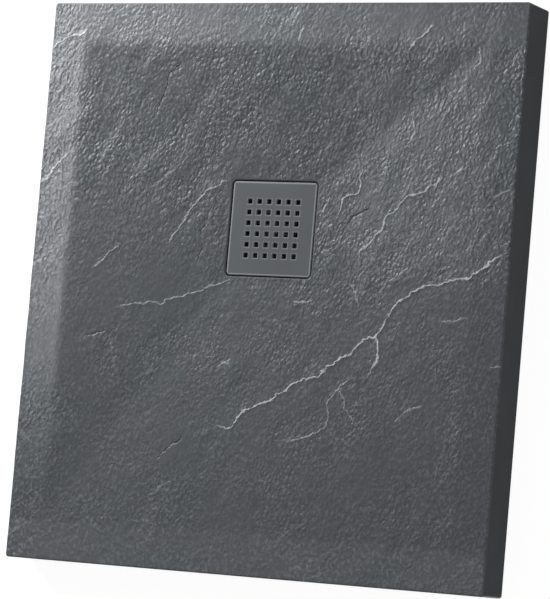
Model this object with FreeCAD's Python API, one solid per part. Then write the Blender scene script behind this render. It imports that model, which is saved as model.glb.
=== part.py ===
"""Slate-effect shower tray with a square drain cover and a low bell trap.

Millimetres. +Z is up, the origin is the centre of the footprint on the floor,
and the waste lies towards +Y. Each piece is written as one file in parts/.
"""

import FreeCAD, Part
import math
import os

from FreeCAD import Vector

# ---- Tray: overall form ------------------------------------------------------
TRAY_WIDTH = 750.0  # along X
TRAY_LENGTH = 800.0  # along Y
TRAY_HEIGHT = 65.0  # floor to the top of the border
CORNER_RADIUS = 4.0  # upright corners, seen from above
EDGE_ROUND = 2.0  # top edge of the sides
BORDER_WIDTH = 53.0  # flat border
SLOPE_WIDTH = 8.0  # slope between the border and the floor
BORDER_DROP = 0.5  # height of that slope
FLOOR_FALL = 18.5  # fall of the floor, from its edge to the recess
DRAIN_OFFSET_X = 0.0  # waste centre from the tray's centre
DRAIN_OFFSET_Y = 84.0

# ---- Tray: walls -------------------------------------------------------------
SKIN = 2.5  # slate-textured facing, gelcoat and its barrier layer
SHELL = 11.0  # resin between the facing and the cells below
SKIRT = 16.0  # resin wall round the edge
RIB = 8.0  # web between two cells
CELL_PITCH = 170.0  # wanted distance between ribs
CELL_CORNER = 14.0
SEAT_RESIN = 8.0  # resin under the waste's seat
BOSS_WALL = 10.0  # resin round the pocket of the waste

# ---- Strips under the skirt --------------------------------------------------
STRIP_THICKNESS = 3.0
STRIP_WIDTH = 12.0
STRIP_SETBACK = 2.0  # from the tray's sides

# ---- Drain cover -------------------------------------------------------------
COVER_SIDE = 132.0
COVER_CORNER = 5.0
COVER_GAP = 2.0  # groove round the cover
COVER_SET_DOWN = 0.5  # cover below the edge of its recess
COVER_PLATE = 3.0
COVER_BEVEL = 1.0
COVER_RIM_DEPTH = 3.0  # rim below the plate
COVER_RIM_WALL = 2.5
HOLE_COUNT = 6  # holes along each side of the field
HOLE_PITCH = 15.2
HOLE_SIDE = 6.6
HOLE_CORNER = 0.8
HOLE_BEVEL = 1.0
RECESS_DEPTH = 9.0
PAD_SIDE = 12.0
PAD_CORNER = 3.0
PAD_INSET = 3.0  # pad from the rim of the cover

# ---- Waste: flange and seals -------------------------------------------------
FLANGE_RADIUS = 57.5
FLANGE_LAND = 12.5  # flange outside the waste hole
FLANGE_THICKNESS = 3.0
FLANGE_ROUND = 1.0
LEDGE_WIDTH = 1.8  # ledge that carries the strainer
NECK_WALL = 3.1
NECK_LENGTH = 15.0
SEAT_CLEARANCE = 1.0  # round the flange
WASHER_THICKNESS = 0.8
GASKET_THICKNESS = 2.0
UNDER_GASKET_THICKNESS = 3.0
GASKET_BORE_CLEARANCE = 0.5  # gaskets and washer round what they are threaded on

# ---- Waste: trap -------------------------------------------------------------
TRAP_RIM_LAND = 13.0  # trap's rim outside the waste hole
TRAP_RIM_THICKNESS = 3.0
POCKET_CLEARANCE = 4.0  # round the trap's rim
SLEEVE_CLEARANCE = 0.5  # sleeve in the waste hole
SLEEVE_WALL = 2.8
SLEEVE_SET_DOWN = 1.0  # sleeve below the seat
THREAD_CLEARANCE = 0.1  # neck in the sleeve
TRAP_GROUND_GAP = 4.0  # trap above the floor
TRAP_FLOOR = 2.5
TRAP_EDGE_ROUND = 2.0
GUSSET_COUNT = 12
GUSSET_THICKNESS = 2.5
GUSSET_HEIGHT = 6.0  # below the rim
GUSSET_REACH = 11.0  # out from the sleeve
SOCKET_RADIUS = 20.2  # takes a 40 mm pipe
SHOULDER_HEIGHT = 5.5  # pipe stop, below the weir
OUTLET_BORE_RADIUS = 17.0
SEAL_SECTION = 2.1  # radial depth of the seal's seat
SEAL_HEIGHT = 3.0
RETAINER_HEIGHT = 3.0
SEAL_CLEARANCE = 0.1
SOCKET_WALL = 1.3  # outside the seal's seat

# ---- Waste: lift-out pieces --------------------------------------------------
LIFT_CLEARANCE = 0.3  # between a lift-out piece and what carries it
STRAINER_THICKNESS = 1.5
STRAINER_HOLE_RADIUS = 1.9
STRAINER_LAND = 2.5  # plate between the outer holes and the ledge
STRAINER_RING_START = 13.0
STRAINER_RING_STEP = 7.0
STRAINER_HOLE_SPACING = 6.6  # along a ring
KNOB_STEM_RADIUS = 3.0
KNOB_RADIUS = 7.0
KNOB_HEIGHT = 4.0
KNOB_HEAD = 1.8
KNOB_ROUND = 0.8
BELL_RADIUS = 31.5
BELL_WALL = 2.0
BELL_ROUND = 1.5
BELL_HEADROOM = 1.0  # bell below the strainer
BELL_EDGE_GAP = 3.0  # water way under the bell's edge
WEIR_GAP = 5.0  # water way over the standpipe
FIN_COUNT = 4
FIN_START_ANGLE = 45.0
FIN_THICKNESS = 2.0
FIN_CLEARANCE = 0.5  # fins in the neck
FIN_TOP_GAP = 6.0  # fins below the bell's top

# ---- Levels, from the top down -----------------------------------------------
CORE_BASE_Z = STRIP_THICKNESS
FLOOR_EDGE_Z = TRAY_HEIGHT - BORDER_DROP
DRAIN_Z = FLOOR_EDGE_Z - FLOOR_FALL
RECESS_FLOOR_Z = DRAIN_Z - RECESS_DEPTH
FLANGE_BASE_Z = RECESS_FLOOR_Z - FLANGE_THICKNESS
WASHER_BASE_Z = FLANGE_BASE_Z - WASHER_THICKNESS
SEAT_Z = WASHER_BASE_Z - GASKET_THICKNESS
POCKET_Z = SEAT_Z - SKIN - SEAT_RESIN
TRAP_RIM_Z = POCKET_Z - UNDER_GASKET_THICKNESS
SLEEVE_TOP_Z = SEAT_Z - SLEEVE_SET_DOWN
STRAINER_Z = RECESS_FLOOR_Z - STRAINER_THICKNESS
LEDGE_Z = STRAINER_Z - LIFT_CLEARANCE
BELL_TOP_Z = STRAINER_Z - BELL_HEADROOM
WEIR_Z = BELL_TOP_Z - BELL_WALL - WEIR_GAP
SHOULDER_Z = WEIR_Z - SHOULDER_HEIGHT
TRAP_FLOOR_Z = TRAP_GROUND_GAP + TRAP_FLOOR
BELL_EDGE_Z = TRAP_FLOOR_Z + BELL_EDGE_GAP
RETAINER_TOP_Z = TRAP_GROUND_GAP + RETAINER_HEIGHT
SEAL_TOP_Z = RETAINER_TOP_Z + SEAL_HEIGHT
COVER_TOP_Z = DRAIN_Z - COVER_SET_DOWN
COVER_PLATE_Z = COVER_TOP_Z - COVER_PLATE

# ---- Radii and sides that follow ---------------------------------------------
RECESS_SIDE = COVER_SIDE + 2 * COVER_GAP
RECESS_CORNER = COVER_CORNER + COVER_GAP
SEAT_RADIUS = FLANGE_RADIUS + SEAT_CLEARANCE
WASTE_HOLE_RADIUS = FLANGE_RADIUS - FLANGE_LAND
TRAP_RIM_RADIUS = WASTE_HOLE_RADIUS + TRAP_RIM_LAND
POCKET_RADIUS = TRAP_RIM_RADIUS + POCKET_CLEARANCE
BOSS_RADIUS = POCKET_RADIUS + BOSS_WALL
SLEEVE_RADIUS = WASTE_HOLE_RADIUS - SLEEVE_CLEARANCE
SLEEVE_BORE = SLEEVE_RADIUS - SLEEVE_WALL
NECK_RADIUS = SLEEVE_BORE - THREAD_CLEARANCE
NECK_BORE = NECK_RADIUS - NECK_WALL
STRAINER_SEAT_RADIUS = NECK_BORE + LEDGE_WIDTH
STRAINER_RADIUS = STRAINER_SEAT_RADIUS - LIFT_CLEARANCE
SEAL_SEAT_RADIUS = SOCKET_RADIUS + SEAL_SECTION
STANDPIPE_RADIUS = SEAL_SEAT_RADIUS + SOCKET_WALL
FIN_RADIUS = NECK_BORE - FIN_CLEARANCE

DRAIN = Vector(DRAIN_OFFSET_X, DRAIN_OFFSET_Y, 0)
UP = Vector(0, 0, 1)
OVERCUT = 5.0  # how far a cutting form runs past the face that it opens


# ---- Shared shapes -----------------------------------------------------------
def cylinder(radius, low, high, centre=DRAIN):
    """Upright cylinder between two heights, about the waste unless told otherwise."""
    return Part.makeCylinder(radius, high - low, Vector(centre.x, centre.y, low), UP)


def ring(bore, radius, low, high):
    """Upright ring about the waste."""
    return cylinder(radius, low, high).cut(cylinder(bore, low - OVERCUT, high + OVERCUT))


def rectangle(centre, width, length, level):
    """Closed wire of a level rectangle."""
    x, y = width / 2, length / 2
    corners = [(-x, -y), (x, -y), (x, y), (-x, y), (-x, -y)]
    return Part.makePolygon([Vector(centre.x + a, centre.y + b, level) for a, b in corners])


def rounded_wire(centre, width, length, radius, level):
    """Closed wire of a level rectangle with round corners."""
    x, y = width / 2 - radius, length / 2 - radius
    turns = [(x, y, 0), (-x, y, 90), (-x, -y, 180), (x, -y, 270)]
    edges = []
    for index, (a, b, start) in enumerate(turns):
        middle = Vector(centre.x + a, centre.y + b, level)
        edges.append(Part.makeCircle(radius, middle, UP, start, start + 90))
        c, d, _ = turns[(index + 1) % 4]
        direction = math.radians(start + 90)
        step = Vector(radius * math.cos(direction), radius * math.sin(direction), 0)
        corner = Vector(centre.x + c, centre.y + d, level)
        edges.append(Part.makeLine(middle + step, corner + step))
    return Part.Wire(edges)


def rounded_prism(centre, width, length, radius, low, high):
    """Upright block with round upright edges."""
    face = Part.Face(rounded_wire(centre, width, length, radius, low))
    return face.extrude(Vector(0, 0, high - low))


def bevelled_prism(centre, width, length, radius, low, high, bevel):
    """Rounded block whose top edge is bevelled all round."""
    block = rounded_prism(centre, width, length, radius, low, high)
    return block.makeChamfer(bevel, level_edges(block, high))


def level_edges(shape, level):
    """Edges that lie wholly at one height."""
    found = []
    for edge in shape.Edges:
        box = edge.BoundBox
        if abs(box.ZMin - level) < 1e-4 and abs(box.ZMax - level) < 1e-4:
            found.append(edge)
    return found


def spaced(count, pitch):
    """Positions of a row that is centred on zero."""
    return [(index - (count - 1) / 2) * pitch for index in range(count)]


# ---- Tray --------------------------------------------------------------------
def basin(drop):
    """What the border, slope and pitched floor enclose, lowered by drop."""
    centre = Vector(0, 0, 0)
    width = TRAY_WIDTH - 2 * BORDER_WIDTH
    length = TRAY_LENGTH - 2 * BORDER_WIDTH
    top = rectangle(centre, width, length, TRAY_HEIGHT - drop)
    floor_width = width - 2 * SLOPE_WIDTH
    floor_length = length - 2 * SLOPE_WIDTH
    edge = rectangle(centre, floor_width, floor_length, FLOOR_EDGE_Z - drop)
    drain = rectangle(DRAIN, RECESS_SIDE, RECESS_SIDE, DRAIN_Z - drop)
    slope = Part.makeLoft([top, edge], True, True)
    floor = Part.makeLoft([edge, drain], True, True)
    above = Part.Face(top).extrude(Vector(0, 0, drop + OVERCUT))
    return above.fuse([slope, floor])


def recess(grow):
    """Square recess of the cover, grown on its sides and floor."""
    side = RECESS_SIDE + 2 * grow
    low = RECESS_FLOOR_Z - grow
    return rounded_prism(DRAIN, side, side, RECESS_CORNER + grow, low, TRAY_HEIGHT + OVERCUT)


def seat(grow):
    """Round seat of the flange, grown on its wall and floor."""
    return cylinder(SEAT_RADIUS + grow, SEAT_Z - grow, TRAY_HEIGHT + OVERCUT)


def tray_form(block, drop):
    """A block with the basin, the recess, the seat and the waste hole in it."""
    hole = cylinder(WASTE_HOLE_RADIUS, -OVERCUT, TRAY_HEIGHT + OVERCUT)
    return block.cut([basin(drop), recess(drop), seat(drop), hole])


def outer_form():
    """The tray as it is seen, without its hollow underside."""
    centre = Vector(0, 0, 0)
    block = rounded_prism(
        centre, TRAY_WIDTH, TRAY_LENGTH, CORNER_RADIUS, CORE_BASE_Z, TRAY_HEIGHT
    )
    block = block.makeFillet(EDGE_ROUND, level_edges(block, TRAY_HEIGHT))
    return tray_form(block, 0)


def inner_form():
    """The casting inside the facing, without its hollow underside."""
    width = TRAY_WIDTH - 2 * SKIN
    length = TRAY_LENGTH - 2 * SKIN
    height = TRAY_HEIGHT - SKIN - CORE_BASE_Z
    block = Part.makeBox(width, length, height, Vector(-width / 2, -length / 2, CORE_BASE_Z))
    return tray_form(block, SKIN)


def side_height(place, drain, half):
    """Height of the facing on the way from the waste out to one side."""
    border = half - BORDER_WIDTH
    floor = border - SLOPE_WIDTH
    start = drain + RECESS_SIDE / 2
    if place <= start:
        return DRAIN_Z
    if place <= floor:
        return DRAIN_Z + FLOOR_FALL * (place - start) / (floor - start)
    if place <= border:
        return FLOOR_EDGE_Z + BORDER_DROP * (place - floor) / SLOPE_WIDTH
    return TRAY_HEIGHT


def facing_height(x, y):
    """Height of the facing above a point: the highest that its four sides give."""
    heights = []
    for side in (-1, 1):
        heights.append(side_height(side * x, side * DRAIN.x, TRAY_WIDTH / 2))
        heights.append(side_height(side * y, side * DRAIN.y, TRAY_LENGTH / 2))
    return max(heights)


def cell_roof(x, y):
    """Roof of a cell whose point nearest to the waste is (x, y), one shell below the facing."""
    depth = SKIN + SHELL
    reach = RECESS_SIDE / 2 + depth
    if abs(x - DRAIN.x) < reach and abs(y - DRAIN.y) < reach:
        return RECESS_FLOOR_Z - depth
    return facing_height(x, y) - depth


def cells():
    """Hollows of the underside: blind cells between ribs, none through the boss."""
    width = TRAY_WIDTH - 2 * (SKIN + SKIRT)
    length = TRAY_LENGTH - 2 * (SKIN + SKIRT)
    across = max(1, round((width + RIB) / CELL_PITCH))
    along = max(1, round((length + RIB) / CELL_PITCH))
    cell_width = (width + RIB) / across - RIB
    cell_length = (length + RIB) / along - RIB
    low = CORE_BASE_Z - OVERCUT
    hollows = []
    for x in spaced(across, cell_width + RIB):
        for y in spaced(along, cell_length + RIB):
            near_x = min(max(DRAIN.x, x - cell_width / 2), x + cell_width / 2)
            near_y = min(max(DRAIN.y, y - cell_length / 2), y + cell_length / 2)
            if math.hypot(near_x - DRAIN.x, near_y - DRAIN.y) < BOSS_RADIUS:
                continue
            roof = cell_roof(near_x, near_y)
            centre = Vector(x, y, 0)
            hollows.append(
                rounded_prism(centre, cell_width, cell_length, CELL_CORNER, low, roof)
            )
    return hollows


def resin_core(form):
    """The casting with its ribs, its boss and the pocket of the trap."""
    pocket = cylinder(POCKET_RADIUS, -OVERCUT, POCKET_Z)
    return form.cut(cells() + [pocket])


def base_strips():
    """Four lengths of strip under the skirt."""
    x = TRAY_WIDTH / 2 - STRIP_SETBACK
    y = TRAY_LENGTH / 2 - STRIP_SETBACK
    inner = x - STRIP_WIDTH
    strips = []
    for side in (-x, inner):
        strips.append(Part.makeBox(STRIP_WIDTH, 2 * y, STRIP_THICKNESS, Vector(side, -y, 0)))
    for side in (-y, y - STRIP_WIDTH):
        strips.append(Part.makeBox(2 * inner, STRIP_WIDTH, STRIP_THICKNESS, Vector(-inner, side, 0)))
    return Part.makeCompound(strips)


# ---- Drain cover -------------------------------------------------------------
def cover_hole(centre):
    """One square hole with its bevelled mouth."""
    low = COVER_PLATE_Z - OVERCUT
    shaft = rounded_prism(centre, HOLE_SIDE, HOLE_SIDE, HOLE_CORNER, low, COVER_TOP_Z)
    mouth_side = HOLE_SIDE + 2 * HOLE_BEVEL
    throat = rounded_wire(centre, HOLE_SIDE, HOLE_SIDE, HOLE_CORNER, COVER_TOP_Z - HOLE_BEVEL)
    mouth = rounded_wire(
        centre, mouth_side, mouth_side, HOLE_CORNER + HOLE_BEVEL, COVER_TOP_Z
    )
    return shaft.fuse(Part.makeLoft([throat, mouth], True, True))


def drain_cover():
    """Bevelled square plate with a rim below and a field of square holes."""
    plate = bevelled_prism(
        DRAIN, COVER_SIDE, COVER_SIDE, COVER_CORNER,
        COVER_PLATE_Z - COVER_RIM_DEPTH, COVER_TOP_Z, COVER_BEVEL,
    )
    inside = COVER_SIDE - 2 * COVER_RIM_WALL
    hollow = rounded_prism(
        DRAIN, inside, inside, COVER_CORNER - COVER_RIM_WALL / 2,
        COVER_PLATE_Z - COVER_RIM_DEPTH - OVERCUT, COVER_PLATE_Z,
    )
    row = spaced(HOLE_COUNT, HOLE_PITCH)
    holes = [cover_hole(DRAIN + Vector(x, y, 0)) for x in row for y in row]
    return plate.cut([hollow] + holes)


def cover_pads():
    """Rubber pads in the corners, between the plate and the recess floor."""
    reach = COVER_SIDE / 2 - COVER_RIM_WALL - PAD_INSET - PAD_SIDE / 2
    low = RECESS_FLOOR_Z + LIFT_CLEARANCE
    pads = []
    for x in (-reach, reach):
        for y in (-reach, reach):
            centre = DRAIN + Vector(x, y, 0)
            pads.append(
                rounded_prism(centre, PAD_SIDE, PAD_SIDE, PAD_CORNER, low, COVER_PLATE_Z)
            )
    return Part.makeCompound(pads)


# ---- Waste: clamped pieces ---------------------------------------------------
def waste_flange():
    """Ring on the seat with a ledge for the strainer and the neck below."""
    plate = ring(STRAINER_SEAT_RADIUS, FLANGE_RADIUS, FLANGE_BASE_Z, RECESS_FLOOR_Z)
    neck = ring(NECK_BORE, NECK_RADIUS, LEDGE_Z - NECK_LENGTH, LEDGE_Z)
    body = plate.fuse(neck).removeSplitter()
    rims = []
    for edge in level_edges(body, RECESS_FLOOR_Z):
        if edge.BoundBox.XLength > 2 * FLANGE_RADIUS - 1:
            rims.append(edge)
    return body.makeFillet(FLANGE_ROUND, rims)


def slip_washer():
    bore = NECK_RADIUS + GASKET_BORE_CLEARANCE
    return ring(bore, FLANGE_RADIUS, WASHER_BASE_Z, FLANGE_BASE_Z)


def seat_gasket():
    bore = WASTE_HOLE_RADIUS + GASKET_BORE_CLEARANCE
    return ring(bore, FLANGE_RADIUS, SEAT_Z, WASHER_BASE_Z)


def underside_gasket():
    bore = SLEEVE_RADIUS + GASKET_BORE_CLEARANCE
    return ring(bore, TRAP_RIM_RADIUS, TRAP_RIM_Z, POCKET_Z)


def gussets():
    """Small webs between the bowl and its rim."""
    webs = []
    start = SLEEVE_RADIUS - SLEEVE_WALL / 2
    end = SLEEVE_RADIUS + GUSSET_REACH
    under = TRAP_RIM_Z - TRAP_RIM_THICKNESS
    top = TRAP_RIM_Z - TRAP_RIM_THICKNESS / 2
    outline = [
        Vector(start, 0, top),
        Vector(end, 0, top),
        Vector(end, 0, under),
        Vector(SLEEVE_RADIUS, 0, under - GUSSET_HEIGHT),
        Vector(start, 0, under - GUSSET_HEIGHT),
    ]
    face = Part.Face(Part.makePolygon(outline + outline[:1]))
    face.translate(Vector(DRAIN.x, DRAIN.y - GUSSET_THICKNESS / 2, 0))
    web = face.extrude(Vector(0, GUSSET_THICKNESS, 0))
    for index in range(GUSSET_COUNT):
        copy = web.copy()
        copy.rotate(DRAIN, UP, (index + 0.5) * 360 / GUSSET_COUNT)
        webs.append(copy)
    return webs


def trap_bowl():
    """Bowl, sleeve, rim and the standpipe that is also the outlet socket."""
    cup = cylinder(SLEEVE_RADIUS, TRAP_GROUND_GAP, SLEEVE_TOP_Z)
    cup = cup.makeFillet(TRAP_EDGE_ROUND, level_edges(cup, TRAP_GROUND_GAP))
    rim = cylinder(TRAP_RIM_RADIUS, TRAP_RIM_Z - TRAP_RIM_THICKNESS, TRAP_RIM_Z)
    inside = ring(STANDPIPE_RADIUS, SLEEVE_BORE, TRAP_FLOOR_Z, SLEEVE_TOP_Z + OVERCUT)
    over = cylinder(SLEEVE_BORE, WEIR_Z, SLEEVE_TOP_Z + OVERCUT)
    bore = cylinder(OUTLET_BORE_RADIUS, -OVERCUT, WEIR_Z + OVERCUT)
    socket = cylinder(SOCKET_RADIUS, -OVERCUT, SHOULDER_Z)
    seal_seat = cylinder(SEAL_SEAT_RADIUS, -OVERCUT, SEAL_TOP_Z)
    solid = cup.fuse([rim] + gussets())
    return solid.cut([inside, over, bore, socket, seal_seat])


def seal_ring(low, high):
    """Ring that fills the seal's seat between two heights."""
    return ring(SOCKET_RADIUS + SEAL_CLEARANCE, SEAL_SEAT_RADIUS - SEAL_CLEARANCE, low, high)


def outlet_seal():
    return seal_ring(RETAINER_TOP_Z, SEAL_TOP_Z)


def seal_retainer():
    return seal_ring(TRAP_GROUND_GAP, RETAINER_TOP_Z)


# ---- Waste: lift-out pieces --------------------------------------------------
def hair_strainer():
    """Round plate with rings of holes."""
    plate = cylinder(STRAINER_RADIUS, STRAINER_Z, RECESS_FLOOR_Z)
    holes = []
    last = NECK_BORE - STRAINER_LAND - STRAINER_HOLE_RADIUS
    rings = 1 + int((last - STRAINER_RING_START) / STRAINER_RING_STEP)
    for index in range(rings):
        radius = STRAINER_RING_START + index * STRAINER_RING_STEP
        count = int(2 * math.pi * radius / STRAINER_HOLE_SPACING)
        for step in range(count):
            angle = 2 * math.pi * step / count
            centre = DRAIN + Vector(radius * math.cos(angle), radius * math.sin(angle), 0)
            hole = cylinder(
                STRAINER_HOLE_RADIUS, STRAINER_Z - OVERCUT, RECESS_FLOOR_Z + OVERCUT, centre
            )
            holes.append(hole)
    return plate.cut(Part.makeCompound(holes))


def strainer_knob():
    """Mushroom knob on the strainer."""
    top = RECESS_FLOOR_Z + KNOB_HEIGHT
    head = cylinder(KNOB_RADIUS, top - KNOB_HEAD, top)
    head = head.makeFillet(KNOB_ROUND, level_edges(head, top))
    return head.fuse(cylinder(KNOB_STEM_RADIUS, RECESS_FLOOR_Z, top - KNOB_HEAD))


def trap_bell():
    """Cup over the standpipe, held off the bowl by fins that reach its floor."""
    bell = cylinder(BELL_RADIUS, BELL_EDGE_Z, BELL_TOP_Z)
    bell = bell.makeFillet(BELL_ROUND, level_edges(bell, BELL_TOP_Z))
    inside = cylinder(BELL_RADIUS - BELL_WALL, -OVERCUT, BELL_TOP_Z - BELL_WALL)
    low = TRAP_FLOOR_Z + LIFT_CLEARANCE
    start = BELL_RADIUS - BELL_WALL
    fins = []
    for index in range(FIN_COUNT):
        fin = Part.makeBox(
            FIN_RADIUS - start, FIN_THICKNESS, BELL_TOP_Z - FIN_TOP_GAP - low,
            Vector(DRAIN.x + start, DRAIN.y - FIN_THICKNESS / 2, low),
        )
        fin.rotate(DRAIN, UP, FIN_START_ANGLE + index * 360 / FIN_COUNT)
        fins.append(fin)
    return bell.fuse(fins).cut(inside)


# ---- Writing the pieces ------------------------------------------------------
def main():
    os.makedirs("parts", exist_ok=True)
    inner = inner_form()
    pieces = {
        "gelcoat_skin": outer_form().cut(inner),
        "resin_core": resin_core(inner),
        "base_strips": base_strips(),
        "drain_cover": drain_cover(),
        "cover_pads": cover_pads(),
        "waste_flange": waste_flange(),
        "slip_washer": slip_washer(),
        "seat_gasket": seat_gasket(),
        "underside_gasket": underside_gasket(),
        "trap_bowl": trap_bowl(),
        "outlet_seal": outlet_seal(),
        "seal_retainer": seal_retainer(),
        "hair_strainer": hair_strainer(),
        "strainer_knob": strainer_knob(),
        "trap_bell": trap_bell(),
    }
    for name, shape in pieces.items():
        shape.exportStep(f"parts/{name}.step")
        litres = shape.Volume / 1e6
        print(f"{name}: {len(shape.Solids)} solid(s), {litres:.4f} l, valid {shape.isValid()}")


main()
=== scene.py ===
# %% [markdown]
# # A slate-effect shower tray
#
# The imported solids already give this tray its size, its pieces and its joints. What
# they lack is the look: the split-stone relief of the face, the finish of each
# material, and light that brings both out. This lesson adds them one at a time.
# It starts by loading the solids as a fixed frame. Every new piece is made in the
# same metres and the same place, so nothing is fitted by eye afterwards.

# %% Load the solids
import math

import bmesh
import bpy
import numpy as np
from mathutils import Matrix, Vector


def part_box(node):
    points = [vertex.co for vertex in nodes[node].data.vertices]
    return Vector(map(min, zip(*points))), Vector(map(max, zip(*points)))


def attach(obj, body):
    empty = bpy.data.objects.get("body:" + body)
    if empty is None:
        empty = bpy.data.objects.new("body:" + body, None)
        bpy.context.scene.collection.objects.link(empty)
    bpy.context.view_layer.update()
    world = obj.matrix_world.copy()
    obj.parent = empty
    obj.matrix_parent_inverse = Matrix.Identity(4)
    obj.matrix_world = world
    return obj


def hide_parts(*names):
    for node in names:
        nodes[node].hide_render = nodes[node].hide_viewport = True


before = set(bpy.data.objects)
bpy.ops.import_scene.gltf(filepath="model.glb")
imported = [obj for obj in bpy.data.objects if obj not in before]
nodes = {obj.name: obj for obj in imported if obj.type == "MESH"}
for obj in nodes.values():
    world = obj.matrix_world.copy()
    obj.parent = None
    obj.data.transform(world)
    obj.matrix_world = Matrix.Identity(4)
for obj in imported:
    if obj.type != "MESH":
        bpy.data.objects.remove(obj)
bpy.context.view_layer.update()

# %% [markdown]
# ## Three small helpers
#
# Colours are written as the hex values that a paint chart gives. Blender's sockets
# want linear light, so one function turns one into the other. Materials are node
# trees. One function adds a node with its settings and links, so that a material
# further down reads as a list of what goes into what. A third starts a material with
# its shader, whose fixed values are set straight on the sockets.

# %% Colour, node and material helpers
def linear(hex_colour, alpha=1.0):
    """sRGB hex to linear: v/12.92 below 0.04045, else ((v + 0.055)/1.055) to the power 2.4."""
    values = np.array([int(hex_colour[i:i + 2], 16) for i in (1, 3, 5)]) / 255
    bright = ((values + 0.055) / 1.055) ** 2.4
    return (*np.where(values <= 0.04045, values / 12.92, bright).tolist(), alpha)


def add(tree, kind, sockets=None, **settings):
    """Add one node; sockets maps each input to a value, or to the output that feeds it."""
    node = tree.nodes.new("ShaderNode" + kind)
    for name, value in settings.items():
        setattr(node, name, value)
    for name, value in (sockets or {}).items():
        if isinstance(value, bpy.types.NodeSocket):
            tree.links.new(value, node.inputs[name])
        else:
            node.inputs[name].default_value = value
    return node


def new_finish(name, **shader_values):
    """Start a material: its tree, its Principled shader with fixed values, Object coordinates."""
    finish = bpy.data.materials.new(name)
    finish.use_nodes = True
    tree = finish.node_tree
    tree.nodes.clear()
    shader = add(tree, "BsdfPrincipled")
    for socket, value in shader_values.items():
        shader.inputs[socket.replace("_", " ")].default_value = value
    add(tree, "OutputMaterial", {"Surface": shader.outputs["BSDF"]})
    place = add(tree, "TexCoord").outputs["Object"]
    return finish, tree, shader, place


print("linear mid grey:", [round(value, 3) for value in linear("#808080")])

# %% [markdown]
# ## The sizes that the face follows
#
# These are the tray's own sizes in millimetres, the same as in the solids: a flat
# border, a step of half a millimetre, and a floor that falls to the square recess of
# the waste. The new face has to sit on the same resin and round the same cover.

# %% Sizes in millimetres
MM = 0.001
HALF_X, HALF_Y, TOP = 375.0, 400.0, 65.0
BORDER, SLOPE = 53.0, 8.0
FLOOR_EDGE, DRAIN_LEVEL = 64.5, 46.0
DRAIN_Y = 84.0
RECESS, RECESS_CORNER, RECESS_FLOOR = 68.0, 7.0, 37.0
SEAT_RADIUS, SEAT_LEVEL, HOLE_RADIUS = 58.5, 31.2, 45.0
SKIN, FOOT = 2.5, 3.0
EDGE_ROUND, CORNER = 2.0, 4.0

skin_low, skin_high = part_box("gelcoat_skin")
print("facing in the solids, mm:", [round(v / MM, 2) for v in (*skin_low, *skin_high)])


# %% [markdown]
# ## Noise with a chosen grain
#
# Slate splits along layers, so its relief has a direction. A general noise texture
# has none. Here white noise is cut down by wavelength instead: only waves between a
# shortest and a longest length stay, and waves along the flow are stretched. It is
# one Fourier transform for a whole field, it always gives the same field for a seed,
# and the lengths are real millimetres.

# %% Noise fields on a lattice
LATTICE, STEP = 1024, 0.8
REACH = LATTICE * STEP / 2


def flow_noise(seed, shortest, longest, stretch=1.0, angle=0.0, fall=1.0):
    """Random field of unit spread: white noise times frequency to the power -fall, kept only
    between the two wavelengths, with frequency along the angle counted stretch times over."""
    white = np.random.default_rng(seed).standard_normal((LATTICE, LATTICE))
    f = np.fft.fftfreq(LATTICE, STEP)
    fx, fy = np.meshgrid(f, f)
    turn = math.radians(angle)
    along = fx * math.cos(turn) + fy * math.sin(turn)
    across = fy * math.cos(turn) - fx * math.sin(turn)
    size = np.maximum(np.hypot(along * stretch, across), 1e-9)
    keep = np.exp(-(size * shortest) ** 6) * (1 - np.exp(-(size * longest) ** 4))
    field = np.fft.ifft2(np.fft.fft2(white) * keep * size ** -fall).real
    return (field - field.mean()) / field.std()


def sample(field, x, y):
    """Value at each place: the four lattice points around it, mixed by distance."""
    u, v = (x + REACH) / STEP, (y + REACH) / STEP
    i = np.clip(np.floor(u).astype(int), 0, LATTICE - 2)
    j = np.clip(np.floor(v).astype(int), 0, LATTICE - 2)
    a, b = u - i, v - j
    low = field[j, i] * (1 - a) + field[j, i + 1] * a
    high = field[j + 1, i] * (1 - a) + field[j + 1, i + 1] * a
    return low * (1 - b) + high * b


def ramp(value, start, end):
    """Smooth step: 0 at start, 1 at end, and 3t^2 - 2t^3 between."""
    t = np.clip((value - start) / (end - start), 0, 1)
    return t * t * (3 - 2 * t)


def by_slope(slope, field):
    """Scale a field so that its steepness, as a root mean square, is the given slope."""
    up, across = np.gradient(field, STEP)
    return field * slope / math.sqrt((up ** 2 + across ** 2).mean())


# each noise: seed, shortest and longest wave in mm, stretch, angle of the grain, fall
pebble = by_slope(0.037, flow_noise(17, 7, 12, 1.15, 72, 0.4))
lump = by_slope(0.019, flow_noise(18, 13, 30, 1.3, 68, 0.8))
swell = by_slope(0.020, flow_noise(11, 30, 90, 1.6, 62, 1.0))
wrinkle = by_slope(0.042, flow_noise(16, 7, 24, 2.2, 38, 0.8))
wander_x = flow_noise(12, 5, 60, 1.0, 0, 1.3)
wander_y = flow_noise(13, 5, 60, 1.0, 0, 1.3)
layer = flow_noise(14, 16, 120, 2.2, 50, 1.7)
patch = flow_noise(15, 60, 220)
print("noise fields:", patch.shape, "one lattice step is", STEP, "mm")

# %% [markdown]
# ## Clefts and crests
#
# A few long crests catch the light on the real face, and one of them forks. They are
# written as lines in millimetres, and noise makes them ragged. For each point of the
# face the signed distance to the nearest line is worked out. A distance changes
# evenly across a face of the mesh, so the material can draw a crest much finer than
# the mesh itself. Shorter clefts come the same way, from the zero line of a noise.

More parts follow.
